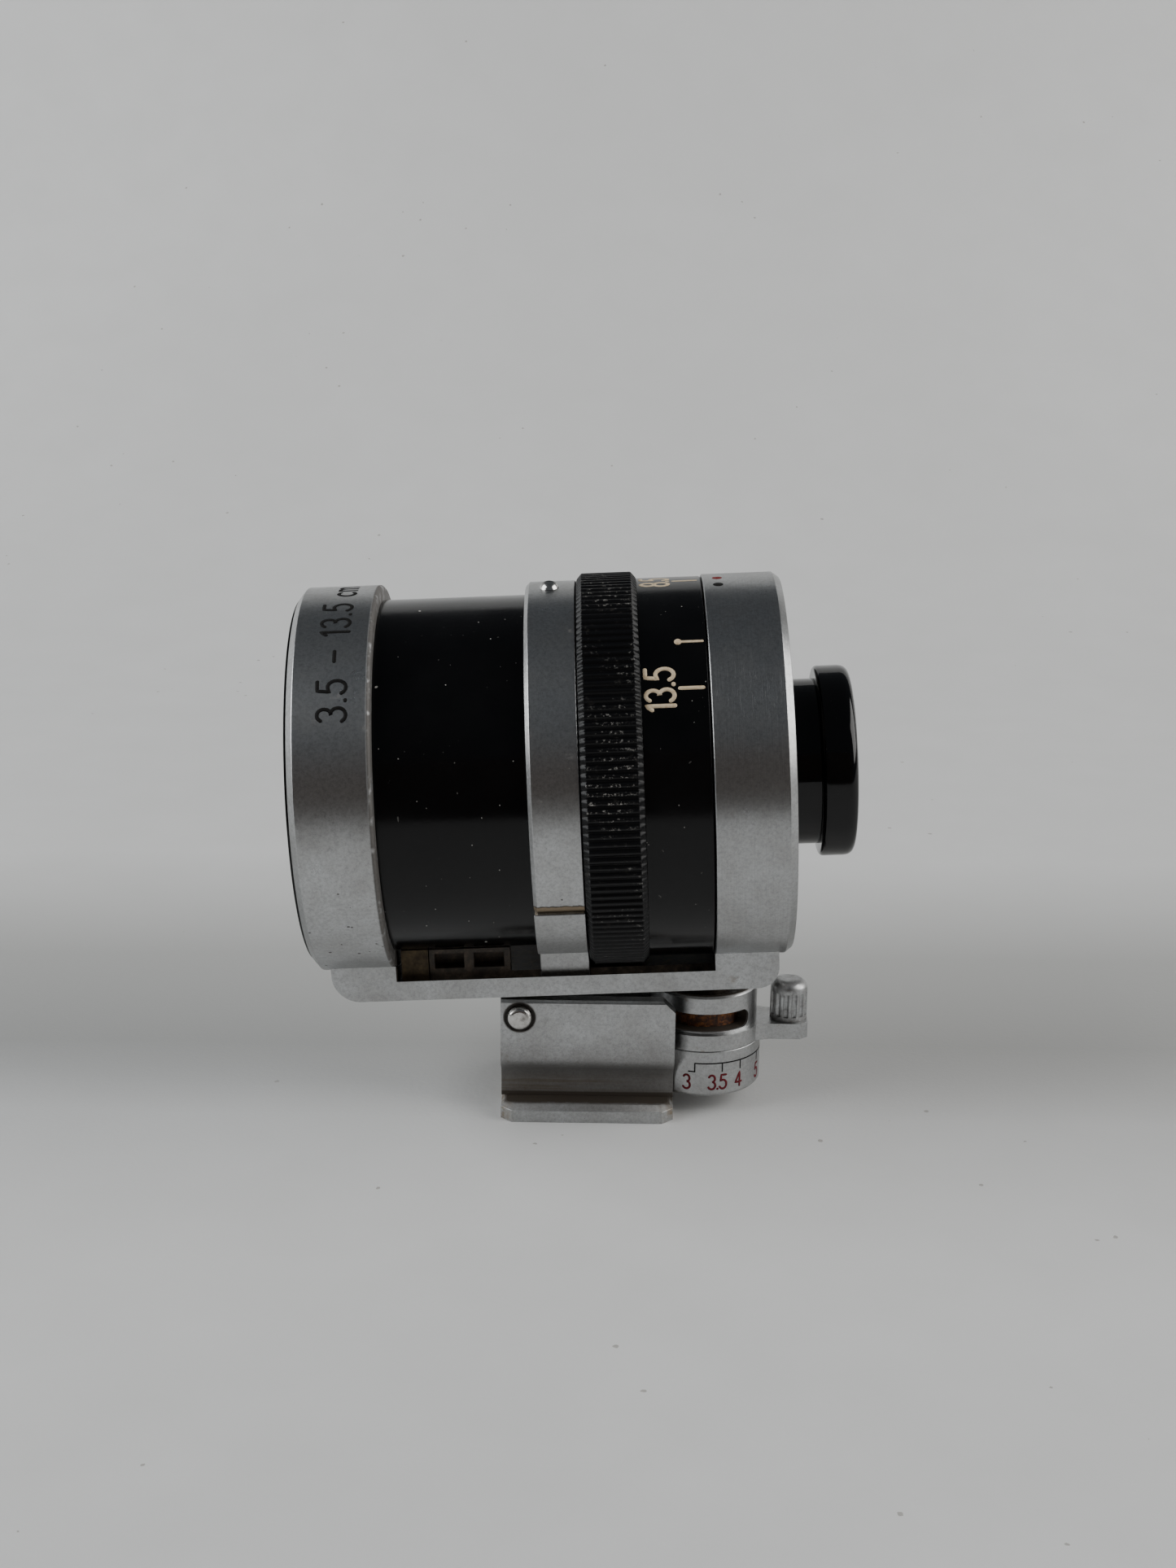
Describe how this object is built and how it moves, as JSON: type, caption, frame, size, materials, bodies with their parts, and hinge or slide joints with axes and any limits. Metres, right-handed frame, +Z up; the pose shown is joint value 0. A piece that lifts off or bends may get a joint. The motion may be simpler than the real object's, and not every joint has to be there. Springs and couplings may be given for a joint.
{
  "type": "zoom accessory-shoe viewfinder",
  "caption": "Tubular zoom viewfinder on a tilting cradle above an accessory-shoe foot, with a knurled zoom ring, a scale sleeve and a lever dial that sets the parallax tilt.",
  "frame": {"origin": "centre of the shoe foot plate's underside", "axes": "+X along the shoe towards the eyepiece, +Z up away from the camera, +Y to the finder's right-hand side seen from the front lens"},
  "size_m": [0.0639, 0.0452, 0.0635],
  "materials": {
    "satin_chrome": "satin plated brass",
    "bright_steel": "turned",
    "black_lacquer": "gloss black",
    "black_moulding": "polished",
    "brass": "turned",
    "lens_glass": "polished, coated"
  },
  "bodies": {
    "foot": {"shoe_foot_plate": "satin_chrome", "foot_screws": "bright_steel", "foot_bracket": "satin_chrome", "pivot_pin": "bright_steel", "leaf_spring": "bright_steel", "spring_screw": "bright_steel", "parallax_drum": "satin_chrome", "drum_spindle": "brass", "collar_retaining_ring": "bright_steel"},
    "lever": {"lever_collar": "satin_chrome", "lever_grip_post": "satin_chrome"},
    "plunger": {"lift_plunger": "bright_steel"},
    "finder": {"cradle": "satin_chrome", "cradle_screws": "bright_steel", "cradle_pivot_lug": "satin_chrome", "front_ring": "satin_chrome", "front_bezel": "black_lacquer", "objective_lens": "lens_glass", "objective_spacer": "black_lacquer", "objective_inner_lens": "lens_glass", "front_barrel": "black_lacquer", "mid_collar": "satin_chrome", "collar_bridge_block": "satin_chrome", "collar_screws": "bright_steel", "window_rail": "black_lacquer", "barrel_key_block": "brass", "guide_barrel": "brass", "rear_ring": "satin_chrome", "rear_cover_plate": "black_lacquer", "field_mask": "black_lacquer", "eyepiece_tube": "black_moulding", "eyepiece_flange": "black_moulding", "eye_lens": "lens_glass", "eye_lens_retainer": "black_lacquer"},
    "zoom_barrel": {"zoom_grip_ring": "black_lacquer", "scale_sleeve": "black_lacquer", "cam_tube": "brass", "drive_screws": "bright_steel"},
    "front_group": {"front_carrier": "brass", "front_carrier_lens": "lens_glass", "front_follower_pin": "bright_steel"},
    "rear_group": {"rear_carrier": "brass", "rear_carrier_lens": "lens_glass", "rear_follower_pin": "bright_steel"}
  },
  "joints": [
    {"name": "parallax_tilt", "type": "hinge", "parent": "foot", "child": "finder", "pos_m": [-0.0079, 0, 0.013], "axis": [0, -1, 0], "range_deg": [-3, 3]},
    {"name": "lever_turn", "type": "hinge", "parent": "foot", "child": "lever", "pos_m": [0.0137, 0, 0.0092], "axis": [0, 0, 1], "range_deg": [-88, 88]},
    {"name": "plunger_lift", "type": "slide", "parent": "foot", "child": "plunger", "axis": [0, 0, 1], "range_m": [-0.0012, 0.0012]},
    {"name": "zoom_turn", "type": "hinge", "parent": "finder", "child": "zoom_barrel", "pos_m": [0, 0, 0.0404], "axis": [0.9986, 0, 0.0523], "range_deg": [-55, 95]},
    {"name": "front_group_slide", "type": "slide", "parent": "finder", "child": "front_group", "axis": [0.9986, 0, 0.0523], "range_m": [-0.00225, 0.00385]},
    {"name": "rear_group_slide", "type": "slide", "parent": "finder", "child": "rear_group", "axis": [0.9986, 0, 0.0523], "range_m": [-0.0025, 0.00148]}
  ],
  "couplings": [
    {"joint": "lever_turn", "follows": "parallax_tilt", "ratio": -29},
    {"joint": "plunger_lift", "follows": "parallax_tilt", "m_per_rad": 0.0216},
    {"joint": "front_group_slide", "follows": "zoom_turn", "m_per_rad": 0.0023},
    {"joint": "rear_group_slide", "follows": "zoom_turn", "m_per_rad": -0.0015}
  ]
}
